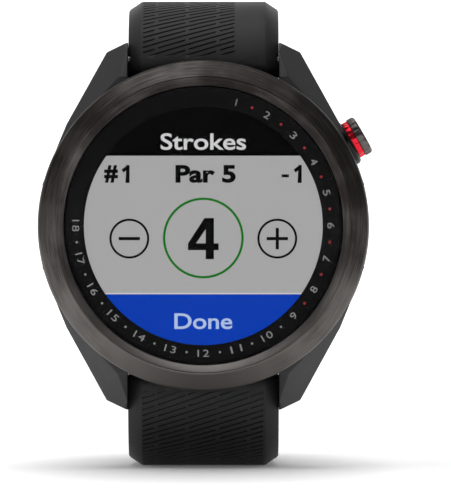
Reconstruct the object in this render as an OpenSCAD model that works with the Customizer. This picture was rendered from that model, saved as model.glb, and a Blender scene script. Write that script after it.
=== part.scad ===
// Golf GPS watch, buckled into a loop and standing on its strap.
// Frame: +X to the button side, -Y out of the dial, +Z to 12 o'clock.
// Origin: centre of the case back.

/* [Case] */
// Diameter of the bezel
bezel_d = 43.3; // [43.2:0.1:43.5]
// Thickness from the case back to the crest of the bezel
case_t = 11.4; // [11.3:0.1:11.8]
// Largest diameter of the case body
body_d = 43.6; // [43.4:0.1:43.8]
// Clear gap between the lugs
lug_gap = 20.1; // [20:0.1:20.3]
// Distance of the lug tips from the dial centre
lug_tip = 24.3; // [24.2:0.1:24.8]
// Wall radius of the main cavity
cavity_r = 19.2; // [18.8:0.1:19.3]

/* [Display] */
// Diameter of the visible display
display_d = 31.3; // [30.4:0.1:31.6]
// Diameter of the lens
lens_d = 36.3; // [36:0.1:36.4]
// Thickness of the lens
lens_t = 1.2; // [0.8:0.1:1.2]

/* [Button] */
// Angle of the button above 3 o'clock
button_angle = 30; // [25:1:35]
// Diameter of the button cap
button_d = 5.4; // [5:0.1:5.6]
// Distance of the cap's outer face from the dial centre
button_reach = 24.3; // [24.2:0.1:24.5]

/* [Strap] */
// Width of the strap at the lugs
strap_w = 19.9; // [19:0.1:19.9]
// Width of the strap at the buckle
buckle_end_w = 18; // [17:0.1:18]
// Thickness of the strap away from the lugs
strap_t = 2.5; // [2.3:0.1:2.5]
// Height of the loop's top above the dial centre
loop_top = 30.2; // [30.1:0.1:30.3]
// Depth of the loop's foot below the dial centre
loop_foot = 31.8; // [31.7:0.1:31.9]
// Outer radius of the upper strap's front bend
upper_bend_r = 12; // [11.8:0.1:12.2]
// Outer radius of the lower strap's front bend
lower_bend_r = 10; // [9.8:0.1:10.2]

/* [Buckle] */
// Distance of the buckle's crossbar below its hinge bar
crossbar_drop = 9.2; // [9:0.1:9.4]
// Radius of the buckle's hinge bar
buckle_bar_r = 0.75; // [0.7:0.05:0.75]

/* [Hidden] */
$fn = 64;
eps = 0.01;
far = 60;

// Levels above the case back, in the dial frame
cover_t = 1.6;
gasket_t = 0.3;
ledge_top_z = 2.6;
battery_z = cover_t + gasket_t;
battery_h = 2.4;
board_z = 5.0;
board_t = 0.8;
frame_z = 5.9;
frame_top_z = 7.2;
body_top_z = 7.7;
bezel_base_z = 7.85;
backlight_t = 0.4;
panel_t = 1.1;
touch_t = 0.3;
print_t = 0.2;
panel_z = frame_top_z + backlight_t;
touch_z = panel_z + panel_t;
print_z = touch_z + touch_t;
lens_z = print_z + print_t;
lens_edge_bevel = 0.2;

// Radii in the dial frame
cover_r = 17.6;
ledge_r = 16.2;
panel_r = 16.4;
seal_r = 17.0;
opening_r = 18.26;
crest_r = 19.3;
board_r = 16.6;
bezel_gasket_r = [19.7, 20.9];
cover_gasket_r = [16.4, 17.5];

// Walls at 12 and 6 o'clock, behind the strap ends
end_wall_y = 19.5;
cavity_end_y = 17.8;

// Lugs: corners of the front outline, then corners of the side profile as [y, level]
lug_root_y = 12;
lug_tip_corner = [12.8, lug_tip - 1.3];
lug_shoulder = [18, 13.4];
lug_flank = [21.2, 5.3];
lug_core_x = 14;
lug_brow = [23.2, 5.6];
lug_nose = [3.9, 1.8];
lug_heel = [23.4, 0.5];
lug_facet_at = [10, 22.9, 5.8];
lug_facet_turn = [0, 53, 42.6];

// Cover screws and charging port
screw_xy = 10.75;
screw_r = 0.7;
screw_head_r = 1.4;
boss_r = 1.9;
boss_top_z = 4.6;
port_y = -12.4;
port_w = 9;
port_h = 4.6;
port_depth = 0.8;
contact_pitch = 2.0;
contact_r = 0.45;

// Inner parts
battery_w = 23;
battery_l = 17;
motor_r = 4;
motor_y = -13.2;
antenna_y = 13;
flex_y = -15.5;
flex_w = 6;
flex_t = 0.15;

// Button, measured along its own axis from the dial centre
button_z = 4.6;
stem_r = 0.75;
stem_in = 17.32;
ring_in = 22.45;
ring_out = 23.1;
cap_in = 23.3;
guard_in = 20.6;
guard_face = 22.4;
guard_r = 3.1;
sleeve_r = 1.9;
pocket_r = 1.75;
pocket_in = 20.9;
bushing_in = 18.9;
bushing_r = 1.35;
clip_in = 18.62;
clip_t = 0.25;
seal_places = [19.5, 20.2];
switch_face = 16.5;
switch_nub = 16.9;
running_gap = 0.05;

// Strap ends and spring bars, in the YZ plane of the whole watch
bar_y = -2.6;
bar_z = 22;
bar_hole_r = 0.55;
bar_tube_r = 0.9;
bar_bore_r = 0.6;
bar_pin_r = 0.5;
bar_tube_half = 9.4;
pin_reach = 11.2;
bar_hole_reach = 11.35;
barrel_r = 2.1;
strap_face_y = -5.2;
strap_inner_y = -0.5;
lever_x = 6;
lever_travel = 1.3;
lever_tip_y = 0.7;
release_pin_in = 2.6;
tip_in = 8.2;

// Back of the loop
back_y = 30;
back_mid_y = 43.35;
layer_gap = 0.15;
upper_back_r = back_mid_y - back_y;
lower_back_r = upper_back_r + strap_t + layer_gap;
lower_back_y = back_y + lower_back_r;
fold_y = 42.75;
upper_fold_z = 20;
lower_fold_z = 24;
fold_r = 1.55;
fold_gap = 0.1;
tail_z = 18;
tail_corner_r = 6;
taper_start_y = 8;
taper_end_y = 42;

// Buckle, tongue, holes and keepers
buckle_z = -4;
arm_x = 10.25;
arm_t = 1.55;
arm_w = 2.4;
arm_eye_r = 1.6;
crossbar_r = 1.1;
crossbar_notch_r = 0.68;
crossbar_y = lower_back_y + strap_t / 2 + 0.2 + crossbar_r;
crossbar_z = buckle_z - crossbar_drop;
tongue_w = 1.6;
tongue_t = 1.0;
tongue_knee = [48.6, -8.0];
tongue_tip = [49.9, -13.9];
tongue_eye_r = 1.25;
hole_z = -5.75;
hole_l = 4.4;
hole_w = 2.2;
hole_pitch = 6.5;
keeper_wall = 1.3;
keeper_play_x = 0.15;
keeper_play_y = 0.1;
fixed_keeper_z = [-1.2, 3.8];
free_keeper_z = [8, 13.5];

// ---------- helpers ----------

// Dial frame: X right, Y to 12 o'clock, Z out of the dial
module dial_frame() {
    rotate([90, 0, 0]) children();
}

// Disc or ring in the dial frame
module disc(r, z, h, bore = 0) {
    translate([0, 0, z]) difference() {
        cylinder(r = r, h = h);
        if (bore > 0) translate([0, 0, -eps]) cylinder(r = bore, h = h + 2 * eps);
    }
}

// Block centred on x and y, standing on z
module block(size, at) {
    translate([at[0], at[1], at[2] + size[2] / 2]) cube(size, center = true);
}

// Disc cut off at 12 and 6 o'clock, as the cavity is
module flat_ended_disc(r, half_y, z, h) {
    intersection() {
        disc(r, z, h);
        block([far, 2 * half_y, h + 2], [0, 0, z - 1]);
    }
}

// A flat outline in the YZ plane, given width along X
module across(width, x = 0) {
    translate([x, 0, 0]) rotate([90, 0, 90]) linear_extrude(width, center = true) children();
}

// Round bar along X at [y, z], from x0 to x1
module rod(r, at, x0, x1) {
    translate([x0, at[0], at[1]]) rotate([0, 90, 0]) cylinder(r = r, h = x1 - x0);
}

// Wire coil that stands on z = 0
module coil(r, wire, turns, height, steps_per_turn = 14, sides = 6) {
    steps = steps_per_turn * turns;
    points = [
        for (i = [0 : steps], k = [0 : sides - 1])
        let (a = 360 * i / steps_per_turn, b = 360 * k / sides, d = r + wire * cos(b))
        [d * cos(a), d * sin(a), wire + (height - 2 * wire) * i / steps + wire * sin(b)]
    ];
    sheath = [
        for (i = [0 : steps - 1], k = [0 : sides - 1])
        let (n = (k + 1) % sides, row = i * sides, next = (i + 1) * sides)
        each [[row + k, row + n, next + n], [row + k, next + n, next + k]]
    ];
    first = [for (k = [sides - 1 : -1 : 0]) k];
    last = [for (k = [0 : sides - 1]) steps * sides + k];
    polyhedron(points, concat([first], sheath, [last]));
}

// ---------- case ----------

// One lug; side and end are -1 or 1
module lug(side, end) {
    outline = [
        [lug_gap / 2, lug_root_y],
        [lug_gap / 2, lug_tip],
        lug_tip_corner,
        lug_shoulder,
        lug_flank,
        [lug_core_x, lug_flank[1]]
    ];
    profile = [
        [0, body_top_z],
        [end_wall_y, body_top_z],
        lug_brow,
        [lug_tip, lug_nose[0]],
        [lug_tip, lug_nose[1]],
        lug_heel,
        [0, lug_heel[1]]
    ];
    mirror([side < 0 ? 1 : 0, 0, 0]) mirror([0, end < 0 ? 1 : 0, 0]) difference() {
        intersection() {
            linear_extrude(far) polygon(outline);
            rotate([90, 0, 90]) linear_extrude(far) polygon(profile);
        }
        translate(lug_facet_at) rotate(lug_facet_turn) block([far, far, 20], [0, 0, 0]);
    }
}

module case_shell() {
    rotate_extrude() polygon([
        [0, 0.3], [cover_r, 0.3], [19.6, 0.6], [21.1, 2.2], [body_d / 2, 4.4],
        [body_d / 2, 7.0], [body_d / 2 - 0.4, body_top_z], [0, body_top_z]
    ]);
}

// Bosses that the cover screws thread into
module cover_bosses() {
    for (x = [-1, 1], y = [-1, 1]) {
        translate([x * screw_xy, y * screw_xy, cover_t + eps])
            cylinder(r = boss_r, h = boss_top_z - cover_t);
    }
}

module cover_screw_places() {
    for (x = [-1, 1], y = [-1, 1]) translate([x * screw_xy, y * screw_xy, 0]) children();
}

// Children are drawn with +Z along the button's axis
module button_frame() {
    dial_frame() rotate([0, 0, button_angle]) translate([0, 0, button_z]) rotate([0, 90, 0]) children();
}

module case_body() {
    color("#25262a") difference() {
        dial_frame() difference() {
            union() {
                difference() {
                    union() {
                        case_shell();
                        for (side = [-1, 1], end = [-1, 1]) lug(side, end);
                    }
                    disc(cover_r + 0.1, -1, battery_z + 1);
                    disc(ledge_r, -1, ledge_top_z + 2);
                    flat_ended_disc(cavity_r, cavity_end_y, ledge_top_z, far);
                    disc(cavity_r, frame_top_z, far);
                }
                intersection() {
                    cover_bosses();
                    disc(cavity_r, 0, far);
                }
            }
            for (end = [-1, 1]) block([lug_gap, 10, far], [0, end * (end_wall_y + 5), -far / 2]);
            cover_screw_places() translate([0, 0, -eps]) cylinder(r = screw_r + 0.02, h = 4.2);
        }
        for (end = [-1, 1]) rod(bar_hole_r, [bar_y, end * bar_z], -bar_hole_reach, bar_hole_reach);
        button_frame() {
            translate([0, 0, 17]) cylinder(r = sleeve_r + 0.01, h = 5);
            translate([0, 0, guard_in - 0.01]) cylinder(r = guard_r + 0.01, h = 5);
        }
    }
}

module bezel_ring() {
    r = bezel_d / 2;
    color("#4d4a48") dial_frame() rotate_extrude() polygon([
        [seal_r, frame_top_z + 0.05], [cavity_r - 0.1, frame_top_z + 0.05],
        [cavity_r - 0.1, bezel_base_z], [r, bezel_base_z], [r, 9.3],
        [crest_r, case_t], [opening_r, 10.65], [opening_r, lens_z - 0.6], [seal_r, lens_z - 0.6]
    ]);
}

module bezel_gasket() {
    color("#141416") dial_frame()
        disc(bezel_gasket_r[1], body_top_z, bezel_base_z - body_top_z, bezel_gasket_r[0]);
}

module rear_cover() {
    color("#2f3033") dial_frame() difference() {
        rotate_extrude() polygon([
            [0, 0], [cover_r - 0.6, 0], [cover_r, 0.5], [cover_r, cover_t], [0, cover_t]
        ]);
        block([port_w, port_h, port_depth + 1], [0, port_y, -1]);
        for (i = [-1.5 : 1 : 1.5]) {
            translate([i * contact_pitch, port_y, -1]) cylinder(r = contact_r + 0.02, h = 4);
        }
        cover_screw_places() {
            translate([0, 0, -1]) cylinder(r = screw_r + 0.1, h = 4);
            translate([0, 0, -1]) cylinder(r = screw_head_r + 0.05, h = 1.75);
        }
    }
}

module cover_gasket() {
    color("#b8442c") dial_frame() difference() {
        disc(cover_gasket_r[1], cover_t, gasket_t, cover_gasket_r[0]);
        cover_screw_places() cylinder(r = boss_r + 0.06, h = far);
    }
}

module cover_screws() {
    color("#8d9094") dial_frame() cover_screw_places() difference() {
        union() {
            translate([0, 0, 0.08]) cylinder(r = screw_head_r, h = 0.67);
            translate([0, 0, 0.7]) cylinder(r = screw_r, h = 3.4);
        }
        cylinder(r = 0.65, h = 0.5, $fn = 6);
    }
}

// ---------- dial side ----------

module lens() {
    r = lens_d / 2;
    color("#9fb0b8", 0.4) dial_frame() rotate_extrude() polygon([
        [0, lens_z], [r, lens_z], [r, lens_z + lens_t - lens_edge_bevel],
        [r - lens_edge_bevel, lens_z + lens_t], [0, lens_z + lens_t]
    ]);
}

module lens_seal() {
    color("#1b1b1d") dial_frame() disc(lens_d / 2, lens_z - 0.6, 0.4, seal_r);
}

module dial_ring() {
    color("#0d0d0f") dial_frame() disc(lens_d / 2, print_z, print_t, display_d / 2);
}

module touch_sensor() {
    color("#20242c") dial_frame() disc(panel_r + 0.4, touch_z, touch_t);
}

module display_panel() {
    color("#a9a9ab") dial_frame() disc(panel_r, panel_z, panel_t);
}

module backlight_plate() {
    color("#e6e6e2") dial_frame() disc(panel_r, frame_top_z, backlight_t);
}

module display_flex() {
    color("#c07a2b") dial_frame()
        block([flex_w, flex_t, frame_top_z - board_z - board_t], [0, flex_y, board_z + board_t]);
}

// ---------- inside the case ----------

module inner_frame() {
    color("#3a3d42") dial_frame() difference() {
        flat_ended_disc(cavity_r - 0.2, cavity_end_y - 0.2, frame_z, frame_top_z - frame_z);
        for (x = [-1, 1], y = [-1, 1]) block([9, 7, 4], [x * 5.5, y * 4.5, frame_z - 1]);
        block([flex_w + 0.6, 0.8, 4], [0, flex_y, frame_z - 1]);
    }
}

module main_board() {
    color("#1e5a34") dial_frame() difference() {
        disc(board_r, board_z, board_t);
        for (x = [-1, 1]) translate([x * board_r, 0, 0]) disc(1.5, board_z - 1, board_t + 2);
    }
}

module board_chips() {
    color("#161618") dial_frame() {
        block([6, 6, 0.55], [-5, 2, board_z - 0.55]);
        block([4, 4, 0.55], [4, 3.5, board_z - 0.55]);
        block([5, 3, 0.55], [3.5, -4, board_z - 0.55]);
        block([2.5, 2, 0.55], [-5, -5, board_z - 0.55]);
    }
}

module gps_antenna() {
    color("#d9d2c2") dial_frame() block([11, 7, 2.1], [0, antenna_y, board_z - 2.1]);
}

module battery() {
    color("#6f7379") dial_frame() intersection() {
        block([battery_w, battery_l, battery_h], [0, 0, battery_z]);
        disc(13.6, battery_z, battery_h);
    }
}

module battery_pad() {
    color("#e4e0d4") dial_frame()
        block([battery_w - 4, battery_l - 4, battery_z - cover_t], [0, 0, cover_t]);
}

module vibration_motor() {
    color("#a6a8ac") dial_frame() {
        translate([0, motor_y, 0]) disc(motor_r, ledge_top_z + 0.1, board_z - ledge_top_z - 0.1);
    }
}

module contact_block() {
    color("#2b2c2f") dial_frame() block([8.6, 3.4, 0.8], [0, port_y, cover_t]);
}

module charge_contacts() {
    color("#d8b25a") dial_frame() for (i = [-1.5 : 1 : 1.5]) {
        translate([i * contact_pitch, port_y, 0.35]) cylinder(r = contact_r, h = cover_t - 0.35);
    }
}

// ---------- button ----------

module tactile_switch() {
    color("#9a9da1") button_frame() {
        translate([-0.4, -1.6, 15.1]) cube([1.8, 3.2, switch_face - 15.1]);
        translate([0, 0, switch_face]) cylinder(r = 0.3, h = switch_nub - switch_face);
    }
}

module button_guard() {
    color("#1f2023") button_frame() difference() {
        union() {
            translate([0, 0, cavity_r]) cylinder(r = sleeve_r, h = guard_in - cavity_r + eps);
            translate([0, 0, guard_in]) cylinder(r = guard_r, h = guard_face - guard_in - 0.3);
            translate([0, 0, guard_face - 0.3]) cylinder(r1 = guard_r, r2 = guard_r - 0.3, h = 0.3);
        }
        translate([0, 0, 18]) cylinder(r = bushing_r, h = far);
        translate([0, 0, pocket_in]) cylinder(r = pocket_r, h = far);
        translate([0, 0, guard_face - 0.5]) cylinder(r = button_d / 2 - 0.08, h = far);
    }
}

module button_bushing() {
    color("#b9bcc0") button_frame()
        disc(bushing_r, bushing_in, pocket_in - bushing_in, stem_r + running_gap);
}

module button_cap() {
    r = button_d / 2;
    color("#3b3a3a") button_frame() rotate_extrude() polygon([
        [0, cap_in], [r - 0.15, cap_in], [r, cap_in + 0.15], [r, button_reach - 0.25],
        [r - 0.25, button_reach], [0, button_reach]
    ]);
}

module button_ring() {
    r = button_d / 2 - 0.2;
    color("#d3222b") button_frame() rotate_extrude() polygon([
        [stem_r + 0.02, ring_in], [r - 0.1, ring_in], [r, ring_in + 0.1], [r, ring_out - 0.1],
        [r - 0.1, ring_out], [stem_r + 0.02, ring_out]
    ]);
}

module button_stem() {
    groove_r = stem_r - 0.23;
    clip_groove_r = stem_r - 0.25;
    color("#c4c7ca") button_frame() difference() {
        union() {
            disc(stem_r, stem_in, cap_in - stem_in);
            disc(2.2, ring_out, cap_in - ring_out);
        }
        for (place = seal_places) disc(stem_r + 1, place - 0.16, 0.32, groove_r);
        disc(stem_r + 1, clip_in - 0.02, clip_t + 0.04, clip_groove_r);
    }
}

module button_seals() {
    color("#121214") button_frame() for (place = seal_places) {
        translate([0, 0, place]) rotate_extrude() translate([0.66, 0]) circle(r = 0.13, $fn = 24);
    }
}

module button_clip() {
    color("#9b9ea2") button_frame() difference() {
        disc(1.3, clip_in, clip_t, stem_r - 0.24);
        block([1.0, 2, 1], [0, -1, clip_in - 0.3]);
    }
}

module button_spring() {
    color("#d6d9dc") button_frame() translate([0, 0, pocket_in]) {
        coil(r = 1.3, wire = 0.15, turns = 3, height = ring_in - pocket_in);
    }
}

// ---------- strap ----------

// Points of an arc from angle a to angle b
function arc(centre, r, a, b, steps) =
    [for (i = [0 : steps]) centre + r * [cos(a + (b - a) * i / steps), sin(a + (b - a) * i / steps)]];

// Whole outline of one strap in the YZ plane, drawn upwards from its lug bar to its far end
module strap_outline(top, bend_r, inner_r, back_r, end_z) {
    outer_c = [strap_face_y + bend_r, top - bend_r];
    inner_c = [strap_inner_y + inner_r, top - strap_t - inner_r];
    back_c = [back_y, top - strap_t / 2 - back_r];
    root_angle = 180 - asin((bar_z - outer_c[1]) / bend_r);
    inner_end = 180 - max(0, asin((bar_z + 0.5 - inner_c[1]) / inner_r));
    polygon(concat(
        arc(outer_c, bend_r, root_angle, 90, 20),
        arc(back_c, back_r + strap_t / 2, 90, 0, 20),
        [[back_c[0] + back_r + strap_t / 2, end_z], [back_c[0] + back_r - strap_t / 2, end_z]],
        arc(back_c, back_r - strap_t / 2, 0, 90, 20),
        arc(inner_c, inner_r, 90, inner_end, 16),
        arc([bar_y, bar_z], barrel_r, 0, -150, 16)
    ));
}

// Half plane on the lug side of the fold line; the fold line is radial to the back bend
module lug_side(top, back_r, fold_z) {
    back_z = top - strap_t / 2 - back_r;
    translate([back_y, back_z]) rotate(atan2(fold_z - back_z, fold_y - back_y))
        translate([-far, 0]) square([2 * far, far]);
}

// Root segment: from the lug bar to the hollow around the fold axis
module root_segment(top, bend_r, inner_r, back_r, fold_z) {
    difference() {
        intersection() {
            strap_outline(top, bend_r, inner_r, back_r, 0);
            lug_side(top, back_r, fold_z);
        }
        translate([fold_y, fold_z]) circle(r = fold_r + fold_gap, $fn = 48);
    }
}

// End segment: the round nose at the fold axis and everything beyond it
module end_segment(top, bend_r, inner_r, back_r, fold_z, end_z) {
    difference() {
        strap_outline(top, bend_r, inner_r, back_r, end_z);
        difference() {
            lug_side(top, back_r, fold_z);
            translate([fold_y, fold_z]) circle(r = fold_r, $fn = 48);
        }
        translate([-far, -far]) square([far + back_y, 2 * far]);
    }
}

// Straps narrow from the lugs to the buckle
module strap_width() {
    root = strap_w / 2;
    end = buckle_end_w / 2;
    translate([0, 0, -far]) linear_extrude(2 * far) polygon([
        [-root, -far], [root, -far], [root, taper_start_y], [end, taper_end_y], [end, far],
        [-end, far], [-end, taper_end_y], [-root, taper_start_y]
    ]);
}

// Bore for the spring bar and the pocket for its lever
module lug_bar_bore(side) {
    rod(bar_tube_r + 0.03, [bar_y, side * bar_z], -far / 2, far / 2);
    translate([lever_x - lever_travel - 0.9, bar_y, side * bar_z - 0.75])
        cube([lever_travel + 1.8, 10, 1.5]);
}

module upper_strap() {
    color("#2a2b2e") difference() {
        intersection() {
            across(far) root_segment(loop_top, upper_bend_r, 7.5, upper_back_r, upper_fold_z);
            strap_width();
        }
        lug_bar_bore(1);
    }
}

module upper_strap_end() {
    color("#303135") difference() {
        intersection() {
            across(far) difference() {
                union() {
                    end_segment(loop_top, upper_bend_r, 7.5, upper_back_r, upper_fold_z, buckle_z);
                    translate([back_mid_y, buckle_z]) circle(r = strap_t / 2);
                }
                translate([back_mid_y, buckle_z]) circle(r = buckle_bar_r + running_gap);
            }
            strap_width();
        }
        translate([-1.1, back_mid_y - 3, buckle_z - 3]) cube([2.2, 6, 4.6]);
    }
}

module lower_strap() {
    color("#2a2b2e") difference() {
        intersection() {
            mirror([0, 0, 1]) across(far)
                root_segment(loop_foot, lower_bend_r, 6, lower_back_r, lower_fold_z);
            strap_width();
        }
        lug_bar_bore(-1);
    }
}

// Outline of the tail from behind, with its two rounded corners
module tail_outline() {
    half = buckle_end_w / 2;
    inset = half - tail_corner_r;
    corner_z = tail_z - tail_corner_r;
    polygon(concat(
        [[-half, -far], [half, -far]],
        arc([inset, corner_z], tail_corner_r, 0, 90, 12),
        arc([-inset, corner_z], tail_corner_r, 90, 180, 12)
    ));
}

// Oblong hole through the tail, its middle at z
module buckle_hole(z) {
    r = hole_w / 2;
    reach = hole_l / 2 - r;
    translate([0, lower_back_y + 3, z]) rotate([90, 0, 0]) linear_extrude(6)
        polygon(concat(arc([0, reach], r, 0, 180, 12), arc([0, -reach], r, 180, 360, 12)));
}

module lower_strap_tail() {
    color("#303135") difference() {
        intersection() {
            mirror([0, 0, 1]) across(far)
                end_segment(loop_foot, lower_bend_r, 6, lower_back_r, lower_fold_z, -tail_z);
            strap_width();
            translate([0, far, 0]) rotate([90, 0, 0]) linear_extrude(2 * far) tail_outline();
        }
        for (i = [-1 : 2]) buckle_hole(hole_z + i * hole_pitch);
    }
}

// Band around both layers of the strap
module keeper(z) {
    half = buckle_end_w / 2 + keeper_play_x;
    inner = back_mid_y - strap_t / 2 - keeper_play_y;
    outer = lower_back_y + strap_t / 2 + keeper_play_y;
    height = z[1] - z[0];
    difference() {
        translate([-half - keeper_wall, inner - keeper_wall, z[0]])
            cube([2 * (half + keeper_wall), outer - inner + 2 * keeper_wall, height]);
        translate([-half, inner, z[0] - 1]) cube([2 * half, outer - inner, height + 2]);
    }
}

module fixed_keeper() {
    color("#26272a") keeper(fixed_keeper_z);
}

module free_keeper() {
    color("#26272a") keeper(free_keeper_z);
}

// ---------- buckle ----------

// Straight bar with round ends between two points of the YZ plane
module link(a, b, w) {
    run = b - a;
    translate(a) circle(r = w / 2, $fn = 32);
    translate(b) circle(r = w / 2, $fn = 32);
    translate(a) rotate(atan2(run[1], run[0])) translate([0, -w / 2]) square([norm(run), w]);
}

module buckle_frame() {
    hinge = [back_mid_y, buckle_z];
    cross = [crossbar_y, crossbar_z];
    color("#57544f") {
        for (x = [-1, 1]) across(arm_t, x * arm_x) difference() {
            union() {
                link(hinge, cross, arm_w);
                translate(hinge) circle(r = arm_eye_r);
            }
            translate(hinge) circle(r = buckle_bar_r + 0.02);
        }
        for (x = [-1, 1]) {
            inner = x * (tongue_w / 2 + 0.4);
            rod(crossbar_r, cross, min(inner, x * arm_x), max(inner, x * arm_x));
        }
        rod(crossbar_notch_r, cross, -arm_x, arm_x);
    }
}

module buckle_bar() {
    end = arm_x + arm_t / 2 - 0.1;
    color("#8b8d90") rod(buckle_bar_r, [back_mid_y, buckle_z], -end, end);
}

module buckle_tongue() {
    hinge = [back_mid_y, buckle_z];
    color("#6b6863") across(tongue_w) difference() {
        union() {
            translate(hinge) circle(r = tongue_eye_r);
            link(hinge, tongue_knee, tongue_t);
            link(tongue_knee, tongue_tip, tongue_t);
        }
        translate(hinge) circle(r = buckle_bar_r + running_gap);
    }
}

// ---------- quick-release spring bars, side 1 upper and -1 lower ----------

module bar_tube(side) {
    at = [bar_y, side * bar_z];
    color("#b4b7ba") difference() {
        rod(bar_tube_r, at, -bar_tube_half, bar_tube_half);
        rod(bar_bore_r, at, -far, far);
        translate([lever_x - lever_travel - 0.7, bar_y, side * bar_z - 0.6])
            cube([lever_travel + 1.4, 3, 1.2]);
    }
}

module bar_tip(side) {
    at = [bar_y, side * bar_z];
    color("#caccd0") {
        rod(bar_pin_r, at, -pin_reach, -tip_in);
        rod(bar_bore_r, at, -bar_tube_half, -tip_in);
    }
}

module bar_spring(side) {
    color("#d6d9dc") translate([-tip_in, bar_y, side * bar_z]) rotate([0, 90, 0]) {
        coil(r = 0.4, wire = 0.1, turns = 7, height = tip_in + release_pin_in, steps_per_turn = 12);
    }
}

module release_pin(side) {
    at = [bar_y, side * bar_z];
    color("#caccd0") {
        rod(bar_pin_r, at, release_pin_in, pin_reach);
        translate([lever_x, bar_y, side * bar_z]) rotate([-90, 0, 0])
            cylinder(r = 0.45, h = lever_tip_y - bar_y - 0.3);
        translate([lever_x, lever_tip_y - 0.3, side * bar_z]) rotate([-90, 0, 0])
            cylinder(r = 0.6, h = 0.3);
    }
}

module upper_bar_tube() { bar_tube(1); }
module upper_bar_tip() { bar_tip(1); }
module upper_bar_spring() { bar_spring(1); }
module upper_release_pin() { release_pin(1); }
module lower_bar_tube() { bar_tube(-1); }
module lower_bar_tip() { bar_tip(-1); }
module lower_bar_spring() { bar_spring(-1); }
module lower_release_pin() { release_pin(-1); }

// ---------- drawing ----------

case_body();
bezel_ring();
bezel_gasket();
lens();
lens_seal();
dial_ring();
touch_sensor();
display_panel();
backlight_plate();
display_flex();
inner_frame();
main_board();
board_chips();
gps_antenna();
battery();
battery_pad();
vibration_motor();
tactile_switch();
rear_cover();
cover_gasket();
cover_screws();
contact_block();
charge_contacts();
button_guard();
button_bushing();
button_cap();
button_ring();
button_stem();
button_seals();
button_clip();
button_spring();
upper_strap();
upper_strap_end();
lower_strap();
lower_strap_tail();
fixed_keeper();
free_keeper();
buckle_frame();
buckle_bar();
buckle_tongue();
upper_bar_tube();
upper_bar_tip();
upper_bar_spring();
upper_release_pin();
lower_bar_tube();
lower_bar_tip();
lower_bar_spring();
lower_release_pin();
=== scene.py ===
import math
import bmesh
import bpy
from mathutils import Matrix, Vector


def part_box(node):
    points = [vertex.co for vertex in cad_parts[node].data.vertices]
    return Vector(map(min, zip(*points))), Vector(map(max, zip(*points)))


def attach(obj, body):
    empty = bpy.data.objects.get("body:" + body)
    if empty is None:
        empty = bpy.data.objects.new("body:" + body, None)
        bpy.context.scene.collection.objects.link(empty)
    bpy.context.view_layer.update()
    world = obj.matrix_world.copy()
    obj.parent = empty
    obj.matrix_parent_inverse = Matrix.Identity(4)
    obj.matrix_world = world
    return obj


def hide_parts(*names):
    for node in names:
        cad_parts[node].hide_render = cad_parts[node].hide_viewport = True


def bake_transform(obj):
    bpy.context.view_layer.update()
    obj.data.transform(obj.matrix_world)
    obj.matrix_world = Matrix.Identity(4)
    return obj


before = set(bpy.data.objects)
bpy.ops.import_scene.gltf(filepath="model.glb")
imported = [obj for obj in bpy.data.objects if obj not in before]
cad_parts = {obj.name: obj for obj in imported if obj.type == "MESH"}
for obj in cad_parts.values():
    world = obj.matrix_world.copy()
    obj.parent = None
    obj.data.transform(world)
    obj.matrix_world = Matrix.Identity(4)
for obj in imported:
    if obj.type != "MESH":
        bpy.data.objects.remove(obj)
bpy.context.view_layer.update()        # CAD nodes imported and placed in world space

# A round golf GPS watch, buckled into a loop and standing on its strap.
# Lengths below are in millimetres and become metres in the meshes. Dial pieces are drawn in the dial
# frame (x right, z to 12 o'clock, depth out of the case back), straps in the YZ plane.

MM = 0.001


def span(node):
    """Lowest and highest corner of a CAD node, in millimetres."""
    lo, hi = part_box(node)
    return lo / MM, hi / MM


# ---------------------------------------------------------------- driving sizes

bezel_lo, bezel_hi = span("bezel_ring")
lens_lo, lens_hi = span("lens")
ring_lo, ring_hi = span("dial_ring")
body_lo, body_hi = span("case_body")
cover_hi = span("rear_cover")[1]

BEZEL_R = bezel_hi.x
CREST_DEPTH = -bezel_lo.y
BEZEL_BASE = 7.85
BEZEL_SKIRT = -bezel_hi.y
CREST_R = 19.33
OPENING_R = 18.26
SEAL_R = 17.0
LENS_R = lens_hi.x
LENS_TOP = -lens_lo.y
LENS_BASE = -lens_hi.y
PRINT_TOP = -ring_lo.y - 0.05
PRINT_BASE = -ring_hi.y
DISPLAY_R = 15.65
PANEL_TOP = -span("display_panel")[0].y

BODY_R = 21.8
BODY_TOP = -body_lo.y
COVER_R = cover_hi.x
LUG_TIP = body_hi.z
END_WALL = 19.5
BAR_DEPTH = 2.6
BAR_Z = 22.0
BAR_HOLE_R = 0.55

BUTTON_ANGLE = math.radians(30)
BUTTON_DEPTH = 4.6

STRAP_W = span("upper_strap")[1].x * 2
BUCKLE_END_W = span("lower_strap_tail")[1].x * 2
STRAP_T = 2.5
LUG_GAP = STRAP_W + 0.05
LOOP_TOP = span("upper_strap")[1].z
LOOP_FOOT = -span("lower_strap")[0].z
BACK_Y = 30.0
UPPER_BACK_R = 13.35
LAYER_GAP = 0.15
LOWER_BACK_R = UPPER_BACK_R + STRAP_T + LAYER_GAP
FACE_Y = -5.2
WRIST_Y = -0.5
TAIL_Z = span("lower_strap_tail")[1].z
BUCKLE_Y = 43.35
BUCKLE_Z = -4.0

# ---------------------------------------------------------------- mesh helpers


def place(bm, name, smooth_angle=30, body=None, node=None, material=None):
    """Makes a scene object of a bmesh in millimetres."""
    bmesh.ops.recalc_face_normals(bm, faces=bm.faces)
    bmesh.ops.scale(bm, vec=(MM, MM, MM), verts=bm.verts)
    mesh = bpy.data.meshes.new(name)
    bm.to_mesh(mesh)
    bm.free()
    mesh.shade_smooth()
    mesh.set_sharp_from_angle(angle=math.radians(smooth_angle))
    obj = bpy.data.objects.new(name, mesh)
    bpy.context.scene.collection.objects.link(obj)
    if material:
        mesh.materials.append(material)
    if body:
        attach(obj, body)
    if node:
        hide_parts(*([node] if isinstance(node, str) else node))
    return obj


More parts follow.
